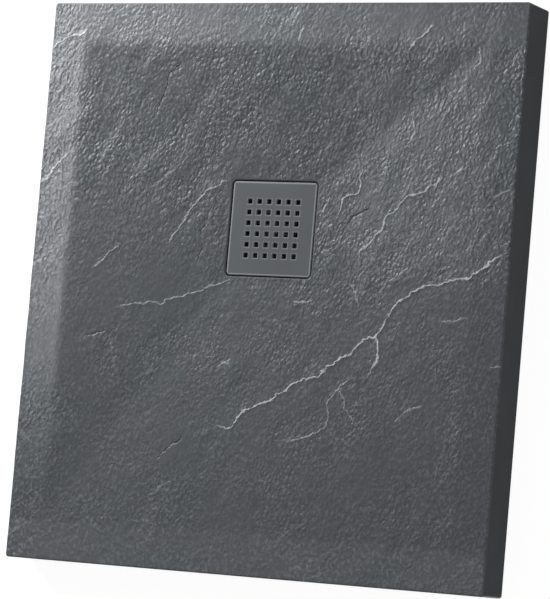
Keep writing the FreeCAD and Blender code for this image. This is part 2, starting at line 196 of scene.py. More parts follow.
# %% Crest lines
# each line: its power, below 0 for a groove, and its points
CRESTS = {
    "fork_trunk": (1.3, [(368, 59), (361, 53), (347, 47), (333, 35), (316, 25), (295, 18),
                         (261, 14), (236, 4), (214, -9), (198, -28), (181, -59), (186, -78),
                         (185, -95), (174, -111), (165, -127)]),
    "fork_branch": (1.2, [(197, -30), (181, -59), (163, -65), (153, -73), (142, -86), (126, -95),
                          (104, -109), (96, -119), (75, -123), (58, -130), (31, -153),
                          (10, -162), (-13, -172), (-27, -188), (-32, -196), (-50, -195),
                          (-66, -202)]),
    "fan": (0.55, [(154, -117), (127, -135), (114, -154), (118, -169), (115, -191),
                   (91, -202), (64, -209), (47, -213)]),
    "fan_curve": (0.45, [(135, -127), (133, -136), (142, -161), (161, -180)]),
    "upper_trunk": (0.85, [(261, 163), (254, 149), (234, 140), (211, 132), (197, 119),
                           (182, 101), (171, 83), (155, 64), (144, 57), (140, 31)]),
    "upper_short": (0.95, [(137, 168), (136, 150), (129, 137), (115, 129), (107, 118),
                           (104, 105)]),
    "beside_cover": (0.7, [(77, 106), (83, 120), (89, 131)]),
    "short_right": (0.8, [(254, 147), (263, 162)]),
    "short_far": (0.6, [(285, 164), (296, 173)]),
    "short_below": (0.55, [(132, 10), (141, -4), (150, -23)]),
    "short_middle": (0.5, [(47, -18), (63, -16), (78, -13)]),
    "short_left": (0.4, [(-64, -114), (-43, -103)]),
    "short_border": (0.35, [(283, -39), (318, -30)]),
    "top_left": (0.4, [(32, 364), (28, 347)]),
    "top_right": (0.75, [(234, 368), (210, 350), (199, 333)]),
    "far_right": (0.55, [(305, 338), (307, 321), (298, 307)]),
    "mid_right": (0.55, [(210, 241), (215, 220), (204, 205)]),
    "edge_high": (0.5, [(364, 209), (337, 199)]),
    "edge_mid": (0.5, [(368, 140), (346, 135)]),
    "edge_low": (0.4, [(372, 73), (359, 67)]),
    "edge_foot": (0.4, [(372, -90), (362, -95)]),
    "corner_left": (0.85, [(-375, 331), (-357, 344), (-333, 355), (-316, 363)]),
    "border_left": (0.75, [(-373, 137), (-352, 157), (-348, 167), (-330, 186)]),
    "drain_left": (0.55, [(-73, 150), (-94, 142), (-119, 120), (-135, 98), (-148, 76),
                          (-167, 50)]),
    "left_mid": (0.5, [(-236, 56), (-255, 37), (-277, 15)]),
    "below_drain": (0.45, [(-54, 12), (-89, -1), (-129, -14), (-157, -25), (-203, -30),
                           (-239, -38)]),
    "low_right": (0.35, [(219, -176), (241, -160), (262, -147)]),
    "groove_top": (-0.95, [(-156, 318), (-178, 297), (-185, 268), (-199, 241)]),
    "groove_drain": (-0.5, [(-97, 112), (-108, 79), (-110, 31)]),
    "groove_left": (-0.5, [(-244, -66), (-280, -82)]),
    "groove_low": (-0.8, [(-108, -213), (-127, -231), (-145, -248)]),
    "groove_right": (-0.7, [(114, 88), (128, 105), (158, 121)]),
}
CREST_WANDER, FARTHEST = 1.4, 30.0
FADE_IN, FADE_OUT = 0.06, 0.16
CLEFT_POWER = 0.3


def crest_distance(x, y):
    """Signed distance in mm to the nearest crest line, and that line's strength.

    For each piece of a line, a point's place along it is its dot product with the
    piece's direction, held between the ends; the distance is what is left, with the
    sign of the cross product. Strength tapers at the ends of the line.
    """
    x = x + CREST_WANDER * sample(wander_x, x, y)
    y = y + CREST_WANDER * sample(wander_y, x, y)
    nearest = np.full(x.shape, FARTHEST)
    strength = np.zeros(x.shape)
    for power, line in CRESTS.values():
        points = np.array(line, float)
        runs = np.hypot(*np.diff(points, axis=0).T)
        total, start = runs.sum(), 0.0
        for (ax, ay), (bx, by), run in zip(points[:-1], points[1:], runs):
            dx, dy = (bx - ax) / run, (by - ay) / run
            along = np.clip((x - ax) * dx + (y - ay) * dy, 0, run)
            side = (x - ax) * dy - (y - ay) * dx
            distance = np.hypot(x - ax - along * dx, y - ay - along * dy)
            share = (start + along) / total
            fade = ramp(share, 0, FADE_IN) * ramp(1 - share, 0, FADE_OUT)
            closer = distance < np.abs(nearest)
            nearest = np.where(closer, np.where(side < 0, -distance, distance), nearest)
            strength = np.where(closer, power * fade, strength)
            start += run
    return nearest, strength


def cleft_distance(x, y):
    """Signed distance to the layer noise's zero line, which is its value over its slope,
    and a strength that a second noise keeps to short stretches."""
    slope_y, slope_x = np.gradient(layer, STEP)
    slope = np.maximum(sample(np.hypot(slope_x, slope_y), x, y), 0.02)
    distance = np.clip(sample(layer, x, y) / slope, -FARTHEST, FARTHEST)
    rough = grain_strength(x, y) + 0.4 * sample(patch, x, y)
    return distance, CLEFT_POWER * ramp(rough, 0.9, 1.6)


print("lines:", len(CRESTS), "with", sum(len(line) for power, line in CRESTS.values()), "points")


# %% [markdown]
# ## The shape of the face
#
# Without its relief, the face is a border, a small step and four planes that fall to the
# waste. Each side of the tray gives one such profile, and the face is the highest of
# the four, as four sheets laid into each other. The relief is then added: broad
# waves, layers that break off at the clefts, and small pebbling. It is worked out at
# any point, so the mesh can be as fine as is needed.

# %% Height of the face
# how far the step's S shape reaches past it at each end, in mm, and how sharp creases are
EASE, SHARPNESS = 1.5, 5.0


def side_profile(out, drain, half):
    """Height along the way from the waste to one side: level, even fall, S-shaped step, flat."""
    border = half - BORDER
    floor = border - SLOPE
    fall = np.clip((out - drain - RECESS) / (floor - drain - RECESS), 0, 1)
    height = DRAIN_LEVEL + (FLOOR_EDGE - DRAIN_LEVEL) * fall
    return height + (TOP - FLOOR_EDGE) * ramp(out, floor - EASE, border + EASE)


def smooth_face(x, y):
    """Highest of the four side profiles; the log of their summed exponentials rounds the
    creases between them."""
    sides = np.stack([
        side_profile(x, 0, HALF_X), side_profile(-x, 0, HALF_X),
        side_profile(y, DRAIN_Y, HALF_Y), side_profile(-y, -DRAIN_Y, HALF_Y),
    ])
    top = sides.max(axis=0)
    return top + np.log(np.exp((sides - top) * SHARPNESS).sum(axis=0)) / SHARPNESS


BASE_GRAIN, PATCHINESS = 0.74, 0.13
# calmer spots: change at the middle, its place, and how far it spreads each way
CALM_SPOTS = [(-0.06, 200, 200, 150, 130), (-0.50, -190, 30, 130, 110),
              (-0.06, 30, -190, 110, 120)]


def grain_strength(x, y):
    """How rough the split face is: a base value with steps across the face, each a ramp in
    x or y, calmer spots, each a bell curve over both, and broad patches of noise."""
    # rough behind the waste's front edge, with a sharp start to the right of the waste
    beside = ramp(x, 60, 120)
    rough = BASE_GRAIN + 0.38 * ramp(y, -30 + 34 * beside, 50 - 28 * beside)
    # calmest at the front and on the back border, rough on the left border
    rough = rough + 0.08 * ramp(y, -260, -60) - 0.42 * ramp(y, 335, 360)
    rough = rough + 0.45 * ramp(-x, 320, 345)
    for change, spot_x, spot_y, reach_x, reach_y in CALM_SPOTS:
        away = ((x - spot_x) / reach_x) ** 2 + ((y - spot_y) / reach_y) ** 2
        rough = rough + change * np.exp(-away)
    return np.clip(rough + PATCHINESS * sample(patch, x, y), 0.2, 1.4)


RIDGE, RIDGE_WIDTH = 0.28, 2.4
BREAK, BREAK_REACH, BREAK_EDGE = 0.31, 9.0, 1.6
CLEFT_BREAK, CLEFT_REACH = 0.24, 8.0
LOWEST, DATUM = -1.4, 0.95


def relief(x, y):
    """Relief in mm: swells, lumps and pebbles, a ridge at each crest, a layer that breaks off
    at each crest and cleft, and wrinkles that take the place of pebbles in the calm patches."""
    rough = grain_strength(x, y)
    crest, crest_power = crest_distance(x, y)
    cleft, cleft_power = cleft_distance(x, y)
    height = rough * (sample(swell, x, y) + sample(lump, x, y) + sample(pebble, x, y))
    height = height + np.clip(1.1 - rough, 0, 0.6) * sample(wrinkle, x, y)
    broken_edge = BREAK * np.tanh(crest / BREAK_EDGE) * np.exp(-np.abs(crest) / BREAK_REACH)
    height = height + crest_power * (RIDGE * np.exp(-(crest / RIDGE_WIDTH) ** 2) + broken_edge)
    cleft_edge = CLEFT_BREAK * np.tanh(cleft / BREAK_EDGE) * np.exp(-np.abs(cleft) / CLEFT_REACH)
    return np.clip(height - cleft_power * cleft_edge, LOWEST, DATUM)


probe_x, probe_y = np.meshgrid(np.linspace(-373, 373, 300), np.linspace(-398, 398, 300))
probe = relief(probe_x, probe_y)
print("relief in mm: lowest %.2f, highest %.2f, spread %.2f"
      % (probe.min(), probe.max(), probe.std()))

# %% [markdown]
# ## The mesh of the facing
#
# The facing is one closed skin round the resin. Its top is a grid with a square gap
# at the waste. From the gap, rings of points lead in and down: over the lip of the
# recess, down its wall, over its floor, into the round seat and through the hole.
# From the outer edge, rings lead round the top edge and down the side. A square ring
# becomes a rounded one by one rule for its corners, so every ring has as many points
# as the grid's edge, and faces join ring to ring. The hidden back needs few faces.

# %% Grid, rings and faces
PITCH, RIM = 2.64, 3.3
GAP = 76.0


def grid_lines(stops):
    """Cut each stretch between two stops into equal steps no longer than the pitch."""
    parts = []
    for low, high in zip(stops[:-1], stops[1:]):
        steps = max(1, math.ceil((high - low) / PITCH))
        parts.append(np.linspace(low, high, steps + 1)[:-1])
    return np.concatenate(parts + [np.array(stops[-1:])])


def rounded(x, y, half_x, half_y, radius):
    """Round a rectangle's corners: inside a corner's square (a, b), a becomes
    a times the root of 1 - b^2/2, and b the same with a, which turns it into a quarter disc."""
    a = np.clip((np.abs(x) - (half_x - radius)) / radius, 0, 1)
    b = np.clip((np.abs(y) - (half_y - radius)) / radius, 0, 1)
    corner = (a > 0) & (b > 0)
    new_x = half_x - radius + radius * a * np.sqrt(1 - b * b / 2)
    new_y = half_y - radius + radius * b * np.sqrt(1 - a * a / 2)
    x = np.where(corner, np.sign(x) * new_x, x)
    y = np.where(corner, np.sign(y) * new_y, y)
    return x, y


xs = grid_lines([-HALF_X + EDGE_ROUND, -HALF_X + RIM, -GAP, GAP,
                 HALF_X - RIM, HALF_X - EDGE_ROUND])
ys = grid_lines([-HALF_Y + EDGE_ROUND, -HALF_Y + RIM, DRAIN_Y - GAP, DRAIN_Y + GAP,
                 HALF_Y - RIM, HALF_Y - EDGE_ROUND])
columns, rows = len(xs), len(ys)
grid_x, grid_y = np.meshgrid(xs, ys)
in_gap = (np.abs(grid_x) < GAP - 0.01) & (np.abs(grid_y - DRAIN_Y) < GAP - 0.01)
number = np.full(grid_x.shape, -1)
number[~in_gap] = np.arange((~in_gap).sum())
face_x, face_y = rounded(grid_x, grid_y, HALF_X - EDGE_ROUND, HALF_Y - EDGE_ROUND,
                         CORNER - EDGE_ROUND)

corners = np.stack([number[:-1, :-1], number[:-1, 1:], number[1:, 1:], number[1:, :-1]], axis=-1)
quads = [corners.reshape(-1, 4)[(corners.reshape(-1, 4) >= 0).all(axis=1)]]
print("grid:", columns, "by", rows, "points,", len(quads[0]), "faces")


def loop_of(block):
    """The edge of a block of numbers, walked once round, anticlockwise from its low corner."""
    return np.concatenate([block[0, :-1], block[:-1, -1], block[-1, :0:-1], block[:0:-1, 0]])


gap_columns = np.flatnonzero(np.abs(xs) < GAP + 0.01)
gap_rows = np.flatnonzero(np.abs(ys - DRAIN_Y) < GAP + 0.01)
gap_block = number[np.ix_(gap_rows, gap_columns)]
inner_loop, outer_loop = loop_of(gap_block), loop_of(number)

RELIEF_FADE, DATUM_FADE = 5.0, 80.0


def face_height(x, y):
    """Smooth face plus relief, lowered by the datum so that no crest rises over the border.

    Both fade out towards the recess, so the face meets it at its own level.
    """
    away = np.maximum(np.abs(x) - RECESS, np.abs(y - DRAIN_Y) - RECESS)
    height = smooth_face(x, y) + ramp(away, 0, RELIEF_FADE) * relief(x, y)
    return np.minimum(height - DATUM * ramp(away, 0, DATUM_FADE), TOP)


face_z = face_height(face_x, face_y)
points = [np.stack([face_x, face_y, face_z], axis=-1)[~in_gap]]
count = len(points[0])
print("face levels in mm: %.2f to %.2f" % (points[0][:, 2].min(), points[0][:, 2].max()))


def add_ring(x, y, z):
    """Add a ring of points and return their numbers."""
    global count
    points.append(np.stack(np.broadcast_arrays(x, y, z), axis=-1))
    count += len(points[-1])
    return np.arange(count - len(points[-1]), count)


def join(first, second):
    """Faces between two rings of as many points, wound so that the first lies outside."""
    quads.append(np.stack([first, second, np.roll(second, -1), np.roll(first, -1)], axis=-1))
    return second


# the way in and down: half width, corner radius and level of each ring, where no level
# means the face's own
gap_x = points[0][inner_loop, 0] / GAP
gap_y = (points[0][inner_loop, 1] - DRAIN_Y) / GAP
LIP, ROOT, ROOT_MIDDLE, SEAT_EDGE = 0.7, 0.8, 0.25, 0.4
WAY_IN = [
    (73.5, 2.0, None), (71.5, 3.8, None), (69.9, 5.5, None),
    (RECESS + LIP, RECESS_CORNER + LIP, DRAIN_LEVEL),
    (RECESS + 0.3 * LIP, RECESS_CORNER + 0.3 * LIP, DRAIN_LEVEL - 0.3 * LIP),
    (RECESS, RECESS_CORNER, DRAIN_LEVEL - LIP),
    (RECESS, RECESS_CORNER, RECESS_FLOOR + ROOT),
    (RECESS - ROOT_MIDDLE, RECESS_CORNER, RECESS_FLOOR + ROOT_MIDDLE),
    (RECESS - ROOT, RECESS_CORNER, RECESS_FLOOR),
    (64.0, 22.0, RECESS_FLOOR), (61.0, 46.0, RECESS_FLOOR),
    (SEAT_RADIUS + SEAT_EDGE, SEAT_RADIUS + SEAT_EDGE, RECESS_FLOOR),
    (SEAT_RADIUS, SEAT_RADIUS, RECESS_FLOOR - SEAT_EDGE),
    (SEAT_RADIUS, SEAT_RADIUS, SEAT_LEVEL), (HOLE_RADIUS, HOLE_RADIUS, SEAT_LEVEL),
    (HOLE_RADIUS, HOLE_RADIUS, SEAT_LEVEL - SKIN),
    (SEAT_RADIUS + SKIN, SEAT_RADIUS + SKIN, SEAT_LEVEL - SKIN),
    (SEAT_RADIUS + SKIN, SEAT_RADIUS + SKIN, RECESS_FLOOR - SKIN),
    (RECESS + SKIN, RECESS_CORNER + SKIN, RECESS_FLOOR - SKIN),
    (RECESS + SKIN, RECESS_CORNER + SKIN, DRAIN_LEVEL - SKIN),
]
ring = inner_loop
for half, radius, level in WAY_IN:
    x, y = rounded(gap_x * half, gap_y * half, half, half, radius)
    z = face_height(x, y + DRAIN_Y) if level is None else level
    ring = join(ring, add_ring(x, y + DRAIN_Y, z))
back_ring = ring

# the way out and down: inset from the side, and drop from the face
grid_edge_x = loop_of(grid_x) / (HALF_X - EDGE_ROUND)
grid_edge_y = loop_of(grid_y) / (HALF_Y - EDGE_ROUND)
edge_z = points[0][outer_loop, 2]
ring = outer_loop
for turn in (25, 50, 72, 90):
    inset = EDGE_ROUND * (1 - math.sin(math.radians(turn)))
    drop = EDGE_ROUND * (1 - math.cos(math.radians(turn)))
    half_x, half_y = HALF_X - inset, HALF_Y - inset
    x, y = rounded(grid_edge_x * half_x, grid_edge_y * half_y, half_x, half_y, CORNER - inset)
    new = add_ring(x, y, edge_z - drop)
    quads.append(np.stack([ring, np.roll(ring, -1), np.roll(new, -1), new], axis=-1))
    ring = new
for share in (0.3, 0.7, 1.0):
    x, y = rounded(grid_edge_x * HALF_X, grid_edge_y * HALF_Y, HALF_X, HALF_Y, CORNER)
    new = add_ring(x, y, (edge_z - EDGE_ROUND) * (1 - share) + FOOT * share)
    quads.append(np.stack([ring, np.roll(ring, -1), np.roll(new, -1), new], axis=-1))
    ring = new
foot_ring = ring

# the back: four corners at each level, joined to the rings by broad faces
signs = np.array([(-1, -1), (1, -1), (1, 1), (-1, 1)])
BACK = [(HALF_X - SKIN, HALF_Y - SKIN, FOOT), (HALF_X - SKIN, HALF_Y - SKIN, TOP - SKIN),
        (HALF_X - BORDER, HALF_Y - BORDER, TOP - SKIN),
        (HALF_X - BORDER - SLOPE, HALF_Y - BORDER - SLOPE, FLOOR_EDGE - SKIN)]
back = [add_ring(signs[:, 0] * a, signs[:, 1] * b, z) for a, b, z in BACK]
for first, second in zip(back[:-1], back[1:]):
    quads.append(np.stack([first, np.roll(first, -1), np.roll(second, -1), second], axis=-1))


def broad_faces(loop, four, side_counts):
    """One many-sided face for each side of the tray, between a ring and two corner points."""
    faces, start = [], 0
    for side, steps in enumerate(side_counts):
        run = [int(loop[(start + k) % len(loop)]) for k in range(steps + 1)]
        faces.append(run + [int(four[(side + 1) % 4]), int(four[side])])
        start += steps
    return faces


across, along = columns - 1, rows - 1
gap_across, gap_along = len(gap_columns) - 1, len(gap_rows) - 1
broad_list = broad_faces(foot_ring, back[0], (across, along, across, along))
broad_list += broad_faces(back_ring, back[-1], (gap_across, gap_along, gap_across, gap_along))
print("rings join", sum(map(len, quads)), "faces; the back adds", len(broad_list), "broad ones")

# %% [markdown]
# ## Making the facing an object
#
# The points and faces go into one mesh. Normals are made to point outwards, which is
# possible because the skin is closed. Five values are kept at each point for the
# material: how rough the stone is there, and the distances to crests and clefts with
# their strengths. The facing replaces the plain one of the solids and stays with the
# tray.

# %% Build the facing
all_points = np.concatenate(points)
all_quads = np.concatenate(quads)
skin_mesh = bpy.data.meshes.new("slate_facing")
skin_mesh.from_pydata((all_points * MM).tolist(), [], all_quads.tolist() + broad_list)
shell = bmesh.new()
shell.from_mesh(skin_mesh)
bmesh.ops.recalc_face_normals(shell, faces=shell.faces)
open_edges = sum(len(edge.link_faces) != 2 for edge in shell.edges)
volume = shell.calc_volume(signed=True) * 1e3
shell.to_mesh(skin_mesh)
shell.free()
skin_mesh.shade_smooth()
skin_mesh.set_sharp_from_angle(angle=math.radians(50))

px, py, pz = all_points.T
# 1 on the face, 0 on the sides, on the hidden back and down in the recess
away = np.maximum(np.abs(px) - RECESS, np.abs(py - DRAIN_Y) - RECESS)
on_face = ramp(pz - smooth_face(px, py), -2.6, -1.6) * ramp(away, 0.3, 4)
crest, crest_power = crest_distance(px, py)
cleft, cleft_power = cleft_distance(px, py)
for name, values in {
    "grain": grain_strength(px, py) * on_face,
    "crest": crest, "crest_power": crest_power * on_face,
    "cleft": cleft, "cleft_power": cleft_power * on_face,
}.items():
    layer_data = skin_mesh.attributes.new(name, "FLOAT", "POINT")
    layer_data.data.foreach_set("value", values.astype(np.float32))

slate_facing = bpy.data.objects.new("slate_facing", skin_mesh)
bpy.context.scene.collection.objects.link(slate_facing)
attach(slate_facing, "tray")
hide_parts("gelcoat_skin")
triangles = sum(len(face.vertices) - 2 for face in skin_mesh.polygons)
print("facing:", len(all_points), "points,", triangles, "triangles,",
      open_edges, "open edges, %.2f l" % volume)

# %% [markdown]
# ## Slate-effect gelcoat
# Shade is painted into the pits and grooves, and highlights onto the pebble tops, crests and
# clefts.
#
# The face is pigmented polyester gelcoat, sprayed into a silicone mould that was
# taken from split slate. It has the stone's relief but not its minerals, so the
# colour is one grey with faint greenish and violet clouds, and the sheen is satin.
# The eye reads it by the relief: pebbles of 4 to 8 mm. The mesh carries the waves
# from 7 mm up; the finer ones are bump in the material, given in millimetres. The
# helpers here, and in the cells below, add their nodes to the tree in hand.

# %% Slate-effect gelcoat
gelcoat, tree, shader, place = new_finish("slate_effect_gelcoat", Roughness=0.42, IOR=1.5)


def numeric(operation, first, second=0.0, third=0.0):
    """A Math node's result, in the tree in hand."""
    return add(tree, "Math", {0: first, 1: second, 2: third}, operation=operation).outputs[0]


def attribute(name):
    """A value kept at the points of the mesh."""
    return add(tree, "Attribute", attribute_name=name).outputs["Fac"]


def between(value, low, high, start=0.0, end=1.0):
    """Spread a value from low..high to start..end, eased and held at the ends."""
    return add(tree, "MapRange", {"Value": value, "From Min": low, "From Max": high,
                                  "To Min": start, "To Max": end},
               interpolation_type="SMOOTHSTEP").outputs["Result"]


flow = add(tree, "Mapping", {"Vector": place, "Rotation": (0, 0, math.radians(72))},
           vector_type="TEXTURE").outputs[0]
flow = add(tree, "Mapping", {"Vector": flow, "Scale": (0.8, 1.0, 1.0)}).outputs[0]
# the grain runs 72 degrees from the X axis, and stretches the pattern a little along it;
# pebbles of 4.2 mm, knots of 5.8 mm, and pores of 1.1 mm from the mould
pebbles = add(tree, "TexNoise", {"Vector": flow, "Scale": 1 / 0.0042, "Detail": 0.5,
                                 "Roughness": 0.5, "Distortion": 0.4}).outputs["Fac"]
knots = add(tree, "TexVoronoi", {"Vector": flow, "Scale": 1 / 0.0058, "Smoothness": 0.6},
            feature="SMOOTH_F1").outputs["Distance"]
pores = add(tree, "TexNoise", {"Vector": place, "Scale": 1 / 0.0011, "Detail": 2.0}).outputs["Fac"]
# clusters: pebbling is stronger in patches about 45 mm wide
clusters = add(tree, "TexNoise", {"Vector": flow, "Scale": 1 / 0.045,
                                  "Detail": 2.0}).outputs["Fac"]
clusters = between(clusters, 0.38, 0.64, 0.7, 1.25)
rough = attribute("grain")
height = numeric("MULTIPLY_ADD", knots, -0.25, numeric("SUBTRACT", pebbles, 0.5))
height = numeric("MULTIPLY", height, numeric("MULTIPLY", rough, clusters))
height = numeric("MULTIPLY_ADD", pores, 0.03, height)

# lines: their course is ragged, and stretches of 14 mm are fainter
ragged = add(tree, "TexNoise", {"Vector": place, "Scale": 1 / 0.005, "Detail": 4.0}).outputs["Fac"]
broken = add(tree, "TexNoise", {"Vector": place, "Scale": 1 / 0.014, "Detail": 2.0}).outputs["Fac"]
broken = between(broken, 0.3, 0.5, 0.4, 1.0)


def line_of(distance, wander, width):
    """1 on the line and 0 a width away from it, after noise has pushed it to and fro."""
    push = numeric("MULTIPLY", numeric("SUBTRACT", ragged, 0.5), wander)
    moved = numeric("ABSOLUTE", numeric("ADD", distance, push))
    return numeric("MULTIPLY", between(moved, 0.1, width, 1.0, 0.0), broken)


crest_line = numeric("MULTIPLY", line_of(attribute("crest"), 4.0, 2.0), attribute("crest_power"))
cleft_line = numeric("MULTIPLY", line_of(attribute("cleft"), 12.0, 1.3), attribute("cleft_power"))
height = numeric("MULTIPLY_ADD", crest_line, 0.9, height)
height = numeric("MULTIPLY_ADD", cleft_line, 0.35, height)
bump = add(tree, "Bump", {"Height": height, "Strength": 1.0, "Distance": MM})
tree.links.new(bump.outputs["Normal"], shader.inputs["Normal"])

clouds = add(tree, "TexNoise", {"Vector": place, "Scale": 1 / 0.13, "Detail": 3.0,
                                "Roughness": 0.55}).outputs["Fac"]
stone = add(tree, "Mix", {"Factor": between(clouds, 0.36, 0.64), "A": linear("#5b6064"),
                          "B": linear("#5f6065")}, data_type="RGBA").outputs["Result"]
# painted shade: the colour is darker in the pits; painted highlight: it is paler on the pebble
# tops
painted_pit_shade = numeric("MULTIPLY", between(pebbles, 0.5, 0.3), numeric("MULTIPLY", rough, 0.35))
stone = add(tree, "Mix", {"Factor": painted_pit_shade, "A": stone, "B": linear("#45494c")},
            data_type="RGBA").outputs["Result"]
painted_top_highlight = numeric("MULTIPLY", between(pebbles, 0.52, 0.74), numeric("MULTIPLY", rough, 0.6))
stone = add(tree, "Mix", {"Factor": painted_top_highlight, "A": stone, "B": linear("#7d8285")},
            data_type="RGBA").outputs["Result"]
# painted highlight: crests and clefts are drawn pale in colour; a groove is a crest line of
# negative power, and is drawn dark as painted shade
pale = numeric("MAXIMUM", numeric("MULTIPLY", crest_line, 0.78),
               numeric("MULTIPLY", cleft_line, 0.5))
stone = add(tree, "Mix", {"Factor": pale, "A": stone, "B": linear("#dfe3e4")}, data_type="RGBA")
# painted shade: the grooves are darkened in colour
painted_groove_shade = numeric("MULTIPLY", crest_line, -0.9)
stone = add(tree, "Mix", {"Factor": painted_groove_shade, "A": stone.outputs["Result"],
                          "B": linear("#2f3335")}, data_type="RGBA")
tree.links.new(stone.outputs["Result"], shader.inputs["Base Color"])
skin_mesh.materials.append(gelcoat)
print("gelcoat nodes:", len(tree.nodes))

# %% [markdown]
# ## Moulded edge
#
# The sides come out of the mould smooth, and are rubbed down where the mould's two
# halves met. The same gelcoat is darker and duller there: fine abrasive scratches
# scatter the light, so no sheen is left. It is a second finish on the same piece,
# used for the faces that look sideways.

# %% Moulded edge
edge_finish, tree, shader, place = new_finish("rubbed_gelcoat_edge", Roughness=0.85, IOR=1.5,
                                              Specular_IOR_Level=0.15)
clouds = add(tree, "TexNoise", {"Vector": place, "Scale": 1 / 0.06, "Detail": 3.0}).outputs["Fac"]
stone = add(tree, "Mix", {"Factor": between(clouds, 0.35, 0.65), "A": linear("#63666a"),
                          "B": linear("#686a6c")}, data_type="RGBA")
tree.links.new(stone.outputs["Result"], shader.inputs["Base Color"])
# abrasive scratches along the side: 0.2 mm apart on the real edge, drawn at 1.5 mm
scratches = add(tree, "Mapping", {"Vector": place, "Scale": (0.08, 0.08, 1.0)}).outputs[0]
scratches = add(tree, "TexNoise", {"Vector": scratches, "Scale": 1 / 0.0015,
                                   "Detail": 2.0}).outputs["Fac"]
bump = add(tree, "Bump", {"Height": scratches, "Strength": 0.4, "Distance": 0.05 * MM})
tree.links.new(bump.outputs["Normal"], shader.inputs["Normal"])
skin_mesh.materials.append(edge_finish)

normals = np.empty(len(skin_mesh.polygons) * 3)
centres = np.empty(len(skin_mesh.polygons) * 3)
skin_mesh.polygons.foreach_get("normal", normals)
skin_mesh.polygons.foreach_get("center", centres)
normals, centres = normals.reshape(-1, 3), centres.reshape(-1, 3) / MM
sideways = (np.abs(normals[:, 2]) < 0.3) & (
    np.maximum(np.abs(centres[:, 0]) - HALF_X, np.abs(centres[:, 1]) - HALF_Y) > -0.5)
skin_mesh.polygons.foreach_set("material_index", sideways.astype(np.int32))
skin_mesh.update()
print("faces with the rubbed finish:", int(sideways.sum()))

# %% [markdown]
# ## Finishes of the carried-over solids
#
# The other pieces keep the shape they have in the solids, and need only their finish.
# Each one below is named for its material and the way its surface was made, and goes
# into the slots of the solids that are made of it.

# %% Putting a finish on solids
def dress(finish, *names):
    """Put one finish in every material slot of the named solids."""
    for name in names:
        if not nodes[name].material_slots:
            nodes[name].data.materials.append(finish)
        for slot in nodes[name].material_slots:
            slot.material = finish
    print(finish.name, "on", ", ".join(names))


# %% [markdown]
# ## Powder-coated steel
#
# The cover is a steel plate in the tray's own grey, powder coated and baked. The
# powder melts into a skin with a slight orange peel and a soft sheen. The edge of
# the plate and the mouths of its holes get a painted highlight: they are drawn paler,
# as light on the bevels. The bevels are where the distance from the plate's middle
# says, so the pattern is worked out from Object coordinates.

# %% Powder-coated steel cover
COVER_HALF, HOLE_PITCH, HOLE_HALF = 66.0, 15.2, 3.3
coating, tree, shader, place = new_finish("powder_coated_steel", Roughness=0.48, IOR=1.5)
centred = add(tree, "Mapping", {"Vector": place, "Location": (0, -DRAIN_Y * MM, 0)}).outputs[0]
axes = add(tree, "SeparateXYZ", {0: add(tree, "VectorMath", {0: centred, 1: (1e3, 1e3, 1e3)},
                                        operation="MULTIPLY").outputs[0]}).outputs
across_mm, along_mm = (numeric("ABSOLUTE", axes[axis]) for axis in ("X", "Y"))
edge_band_highlight = between(numeric("MAXIMUM", across_mm, along_mm), COVER_HALF - 2.9, COVER_HALF - 1.6)
cell_x, cell_y = (numeric("ABSOLUTE", numeric("SUBTRACT", numeric("MODULO", value, HOLE_PITCH),
                                              HOLE_PITCH / 2)) for value in (across_mm, along_mm))
mouth = numeric("MAXIMUM", cell_x, cell_y)
inside = numeric("LESS_THAN", numeric("MAXIMUM", across_mm, along_mm), 3 * HOLE_PITCH)
mouth = numeric("MULTIPLY", between(mouth, HOLE_HALF + 2.2, HOLE_HALF + 1.0), inside)
top_side = between(axes["Z"], 43.5, 44.2)
# painted highlight: the plate's edge and the mouths of its holes, on its top side, are drawn paler
bevel_highlight = numeric("MULTIPLY", numeric("MAXIMUM", edge_band_highlight, numeric("MULTIPLY", mouth, 0.55)), top_side)
clouds = add(tree, "TexNoise", {"Vector": place, "Scale": 1 / 0.07, "Detail": 3.0}).outputs["Fac"]
paint = add(tree, "Mix", {"Factor": between(clouds, 0.35, 0.65), "A": linear("#62696c"),
                          "B": linear("#606468")}, data_type="RGBA").outputs["Result"]
paint = add(tree, "Mix", {"Factor": numeric("MULTIPLY", bevel_highlight, 0.75), "A": paint,
                          "B": linear("#b4b7b8")}, data_type="RGBA")
tree.links.new(paint.outputs["Result"], shader.inputs["Base Color"])
# orange peel of 1.6 mm, about the real wavelength of a baked powder
peel = add(tree, "TexNoise", {"Vector": place, "Scale": 1 / 0.0016, "Detail": 2.0}).outputs["Fac"]
bump = add(tree, "Bump", {"Height": peel, "Strength": 0.5, "Distance": 0.06 * MM})
tree.links.new(bump.outputs["Normal"], shader.inputs["Normal"])
dress(coating, "drain_cover")

# %% [markdown]
# ## Cast mineral resin
#
# Behind the gelcoat the tray is polyester filled with ground limestone and sand, cast
# open on its back. The back is matt and slightly floury, mottled where the filler
# settled, with pinholes where air was trapped against the mould's core.

# %% Cast mineral resin
resin, tree, shader, place = new_finish("cast_mineral_resin", Roughness=0.78, IOR=1.54)
settled = add(tree, "TexNoise", {"Vector": place, "Scale": 1 / 0.05, "Detail": 5.0,
                                 "Roughness": 0.6}).outputs["Fac"]
body = add(tree, "Mix", {"Factor": between(settled, 0.35, 0.65), "A": linear("#77766f"),
                         "B": linear("#8a8982")}, data_type="RGBA").outputs["Result"]
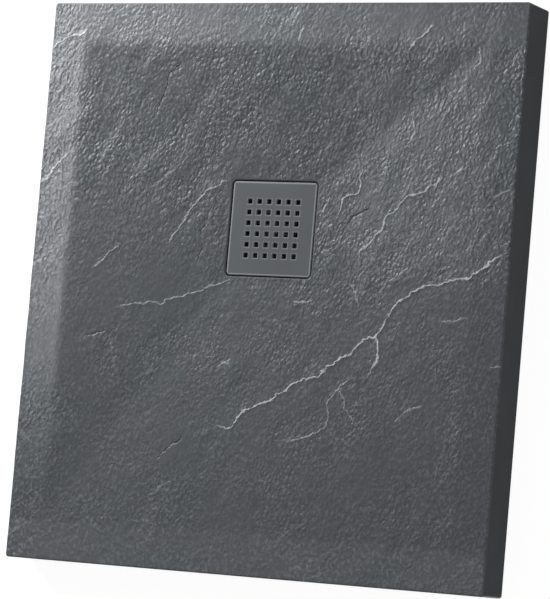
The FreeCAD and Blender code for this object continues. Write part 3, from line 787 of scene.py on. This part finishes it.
# grains of filler: up to 0.8 mm on the real one, drawn at 2 mm
grains = add(tree, "TexVoronoi", {"Vector": place, "Scale": 1 / 0.002}).outputs
speck = add(tree, "SeparateColor", {"Color": grains["Color"]}).outputs[0]
body = add(tree, "Mix", {"Factor": between(speck, 0.86, 0.9, 0.0, 0.45), "A": body,
                         "B": linear("#b5b3a9")}, data_type="RGBA").outputs["Result"]
body = add(tree, "Mix", {"Factor": between(speck, 0.14, 0.1, 0.0, 0.5), "A": body,
                         "B": linear("#4b4b48")}, data_type="RGBA").outputs["Result"]
pinholes = add(tree, "TexVoronoi", {"Vector": place, "Scale": 1 / 0.018}).outputs["Distance"]
pinholes = between(pinholes, 0.1, 0.06)
# painted shade: the pinholes are drawn dark in colour as well as sunk by bump
body = add(tree, "Mix", {"Factor": pinholes, "A": body, "B": linear("#33332f")}, data_type="RGBA")
tree.links.new(body.outputs["Result"], shader.inputs["Base Color"])
height = numeric("MULTIPLY_ADD", pinholes, -0.5, numeric("MULTIPLY", settled, 0.5))
height = numeric("MULTIPLY_ADD", speck, 0.08, height)
bump = add(tree, "Bump", {"Height": height, "Strength": 0.8, "Distance": MM})
tree.links.new(bump.outputs["Normal"], shader.inputs["Normal"])
dress(resin, "resin_core")

# %% [markdown]
# ## Rubbers and plastics
#
# The tray stands on strips of closed-cell rubber, cut from foamed sheet, so the cut
# cells show as fine pits. The seals and the cover's pads are moulded solid rubber,
# darker and tighter. The trap is moulded polypropylene: nearly smooth, with a slight
# waviness from shrinking and a soft sheen, white inside the waste and grey below.
# All four are one recipe with other numbers, so one function mixes them.

# %% Rubbers and plastics
def moulded(name, colours, grain_mm, depth_mm, **shader_values):
    """A moulded or foamed material: two close colours in 30 mm clouds, and a grain of a
    given size and depth as bump."""
    global tree
    finish, tree, shader, place = new_finish(name, **shader_values)
    clouds = add(tree, "TexNoise", {"Vector": place, "Scale": 1 / 0.03, "Detail": 3.0})
    clouds = clouds.outputs["Fac"]
    mixed = add(tree, "Mix", {"Factor": between(clouds, 0.35, 0.65), "A": linear(colours[0]),
                              "B": linear(colours[1])}, data_type="RGBA")
    tree.links.new(mixed.outputs["Result"], shader.inputs["Base Color"])
    grain = add(tree, "TexNoise", {"Vector": place, "Scale": 1000 / grain_mm, "Detail": 2.0})
    bump = add(tree, "Bump", {"Height": grain.outputs["Fac"], "Strength": 0.7,
                              "Distance": depth_mm * MM})
    tree.links.new(bump.outputs["Normal"], shader.inputs["Normal"])
    return finish


# cut cells of 0.9 mm
dress(moulded("closed_cell_rubber", ("#1d1e1f", "#252627"), 0.9, 0.35, Roughness=0.92, IOR=1.5),
      "base_strips")
# eroded mould steel leaves a 0.7 mm texture
dress(moulded("moulded_rubber", ("#202122", "#28292a"), 0.7, 0.08, Roughness=0.62, IOR=1.52),
      "cover_pads", "seat_gasket", "underside_gasket", "outlet_seal")
# polypropylene: waves of 9 mm, 0.05 mm deep
dress(moulded("white_polypropylene", ("#dfe0dc", "#e6e6e2"), 9.0, 0.12, Roughness=0.34, IOR=1.49),
      "slip_washer", "trap_bell")
dress(moulded("grey_polypropylene", ("#8b8f91", "#949799"), 9.0, 0.12, Roughness=0.38, IOR=1.49),
      "trap_bowl", "seal_retainer")

# %% [markdown]
# ## Turned stainless steel
#
# The flange, the hair strainer and its knob are pressed from stainless sheet and
# dressed on a lathe. The tool leaves rings round the drain's axis, which pull the
# highlights into narrow fans. The rings are a wave over the distance from that axis.

# %% Turned stainless steel
steel, tree, shader, place = new_finish("turned_stainless_steel", Metallic=1.0)
centred = add(tree, "Mapping", {"Vector": place, "Location": (0, -DRAIN_Y * MM, 0)}).outputs[0]
flat = add(tree, "VectorMath", {0: centred, 1: (1, 1, 0)}, operation="MULTIPLY").outputs[0]
radius = add(tree, "VectorMath", {0: flat}, operation="LENGTH").outputs["Value"]
# tool marks: 0.1 mm apart on the real one, drawn at 0.9 mm
marks = add(tree, "TexNoise", {"W": radius, "Scale": 1 / 0.0009, "Detail": 2.0},
            noise_dimensions="1D").outputs["Fac"]
smears = add(tree, "TexNoise", {"Vector": place, "Scale": 1 / 0.02, "Detail": 3.0}).outputs["Fac"]
metal = add(tree, "Mix", {"Factor": between(smears, 0.3, 0.7), "A": linear("#c6c7c5"),
                          "B": linear("#d2d1ce")}, data_type="RGBA")
tree.links.new(metal.outputs["Result"], shader.inputs["Base Color"])
shine = numeric("ADD", between(marks, 0.3, 0.7, 0.22, 0.34), between(smears, 0.4, 0.7, 0.0, 0.08))
tree.links.new(shine, shader.inputs["Roughness"])
bump = add(tree, "Bump", {"Height": marks, "Strength": 0.6, "Distance": 0.02 * MM})
tree.links.new(bump.outputs["Normal"], shader.inputs["Normal"])
dress(steel, "waste_flange", "hair_strainer", "strainer_knob")

# %% [markdown]
# ## Camera
#
# The photograph is taken from high above the tray and from its right, with a long
# lens, so the sides hardly converge. The place and angle come from six corners of the
# tray: four of the face and two at the foot of the side. The lens is given for a frame
# of 550 by 599 pixels.

# %% Camera
# fitted: the turns in degrees, and the tray's origin as seen by the camera, in metres
turn_x, turn_y, turn_z = (math.radians(a) for a in (-4.6243, -28.3781, -4.952))
view = (Matrix.Rotation(turn_z, 3, "Z") @ Matrix.Rotation(turn_x, 3, "X")
        @ Matrix.Rotation(turn_y, 3, "Y"))
shift_to_view = Vector((0.0094, 0.0097, -4.925))
camera_data = bpy.data.cameras.new("camera")
camera_data.sensor_width = 36
FOCAL_PIXELS, FRAME_HEIGHT = 3515.6, 599
camera_data.lens = FOCAL_PIXELS * camera_data.sensor_width / FRAME_HEIGHT
camera = bpy.data.objects.new("camera", camera_data)
bpy.context.scene.collection.objects.link(camera)
stand = -(view.transposed() @ shift_to_view)
camera.matrix_world = Matrix.Translation(stand) @ view.transposed().to_4x4()
bpy.context.scene.camera = camera
print("camera at", [round(v, 3) for v in camera.location], "lens", round(camera_data.lens, 1))

# %% [markdown]
# ## Floor
#
# The floor is white only to the camera and in reflections; for light that bounces it
# is dark, so it doesn't wash out the side that faces away from the lamps. Its glow is
# just under white, and the light that falls on it adds the rest, so it keeps the tray's
# shadow.

# %% Floor
floor_mesh = bpy.data.meshes.new("studio_floor")
FLOOR_HALF = 6
floor_corners = [(x * FLOOR_HALF, y * FLOOR_HALF, 0) for x, y in signs.tolist()]
floor_mesh.from_pydata(floor_corners, [], [(0, 1, 2, 3)])
studio_floor = bpy.data.objects.new("studio_floor", floor_mesh)
bpy.context.scene.collection.objects.link(studio_floor)
paper = bpy.data.materials.new("white_paper_floor")
paper.use_nodes = True
floor_tree = paper.node_tree
floor_tree.nodes.clear()
path = add(floor_tree, "LightPath").outputs
seen = path["Is Camera Ray"]
for ray in ("Is Glossy Ray", "Is Transmission Ray"):
    seen = add(floor_tree, "Math", {0: seen, 1: path[ray]}, operation="MAXIMUM").outputs[0]
glow = add(floor_tree, "Emission", {"Color": (1, 1, 1, 1), "Strength": 0.93})
pale = add(floor_tree, "BsdfDiffuse", {"Color": (0.25, 0.25, 0.25, 1)})
lit = add(floor_tree, "AddShader", {0: glow.outputs[0], 1: pale.outputs[0]})
dull = add(floor_tree, "BsdfDiffuse", {"Color": (0.16, 0.16, 0.16, 1)})
both = add(floor_tree, "MixShader", {0: seen, 1: dull.outputs[0], 2: lit.outputs[0]})
add(floor_tree, "OutputMaterial", {"Surface": both.outputs[0]})
floor_mesh.materials.append(paper)
print("floor:", 2 * FLOOR_HALF, "m wide")

# %% [markdown]
# ## Light
#
# A relief shows only in light that comes from one side, so the main lamp is a soft
# box that stands low, behind the tray and to its left. It is near the tray, which is
# why the face fades towards its front right corner. A wide, weak box to the right keeps
# the side that the camera sees from going black, and the studio's air fills the
# hollows. The borders lie flat and the floor planes lean, so in the photograph each has
# a light of its own. Strip boxes with grids, which let out light in one direction only,
# do that here: one each for the left, back and front borders and one, softer, for the
# floor at the back right. Two of them are graded along their length, as with a scrim,
# by the lamp's own Parametric coordinate.

# %% Lamps
def soft_box(name, place, aim, size, power, spread=180.0):
    """Area lamp at a place in metres, turned so that its -Z axis points at the aim."""
    lamp = bpy.data.lights.new(name, "AREA")
    lamp.shape = "RECTANGLE"
    lamp.size, lamp.size_y = size
    lamp.energy = power
    lamp.spread = math.radians(spread)
    box = bpy.data.objects.new(name, lamp)
    bpy.context.scene.collection.objects.link(box)
    box.location = place
    box.rotation_euler = (Vector(aim) - Vector(place)).to_track_quat("-Z", "Y").to_euler()
    box.visible_camera = False
    print(name, "at", [round(v, 3) for v in box.location], "m,", power, "W")
    return box


STANDOFF = 0.4


def grid_strip(name, low, high, source, power, fade=None, spread=2.4):
    """Strip box with a grid, over a rectangle of the face given in mm.

    Its light comes from the direction of source. The lamp's width is the rectangle's
    times the cosine of its lean, and its place is the rectangle's middle carried back
    along the light. With a fade, strength rises from 0 at the part fade[0] of its length
    to 1 at the part fade[1].
    """
    source = Vector(source).normalized()
    middle = Vector(((low[0] + high[0]) / 2, (low[1] + high[1]) / 2, TOP)) * MM
    long, wide = sorted(((high[0] - low[0]) * MM, (high[1] - low[1]) * MM), reverse=True)
    size = (long, wide * source.z)
    box = soft_box(name, middle + STANDOFF * source, middle, size, power, spread)
    if fade:
        box.data.use_nodes = True
        scrim = box.data.node_tree
        across_lamp = add(scrim, "NewGeometry").outputs["Parametric"]
        along = add(scrim, "SeparateXYZ", {0: across_lamp}).outputs["X"]
        grade = add(scrim, "MapRange", {"Value": along, "From Min": fade[0], "From Max": fade[1]},
                    interpolation_type="SMOOTHSTEP").outputs["Result"]
        scrim.links.new(grade, scrim.nodes["Emission"].inputs["Strength"])


soft_box("side_fill", (2.4, -0.4, 0.7), (0.375, 0, 0.03), (1.2, 1.2), 5.0)
soft_box("key_box", (-1.55, 1.05, 1.0), (0, 0, 0), (0.5, 0.5), 38.5)
# the border strips reach a little over the step
EDGE = BORDER + 0.3 * SLOPE
FROM_LEFT, FROM_BACK = (-0.6, 0, 0.8), (0, 0.6, 0.8)
grid_strip("left_strip", (-HALF_X, -HALF_Y), (EDGE - HALF_X, HALF_Y), FROM_LEFT, 0.044,
           fade=(0.95, 0.35))
grid_strip("back_strip", (EDGE - HALF_X, HALF_Y - EDGE - 4), (HALF_X, HALF_Y), FROM_BACK, 0.068,
           fade=(-0.3, 1.1))
grid_strip("right_strip", (110, 30), (HALF_X, HALF_Y), FROM_LEFT, 0.014, spread=10.0)
grid_strip("front_strip", (-HALF_X, -HALF_Y), (HALF_X, EDGE - HALF_Y), FROM_BACK, 0.02)

AIR = 0.235
world = bpy.data.worlds.new("studio_air")
bpy.context.scene.world = world
world.use_nodes = True
world.node_tree.nodes["Background"].inputs["Color"].default_value = (1, 1, 1, 1)
world.node_tree.nodes["Background"].inputs["Strength"].default_value = AIR
bpy.context.scene.view_settings.view_transform = "Standard"
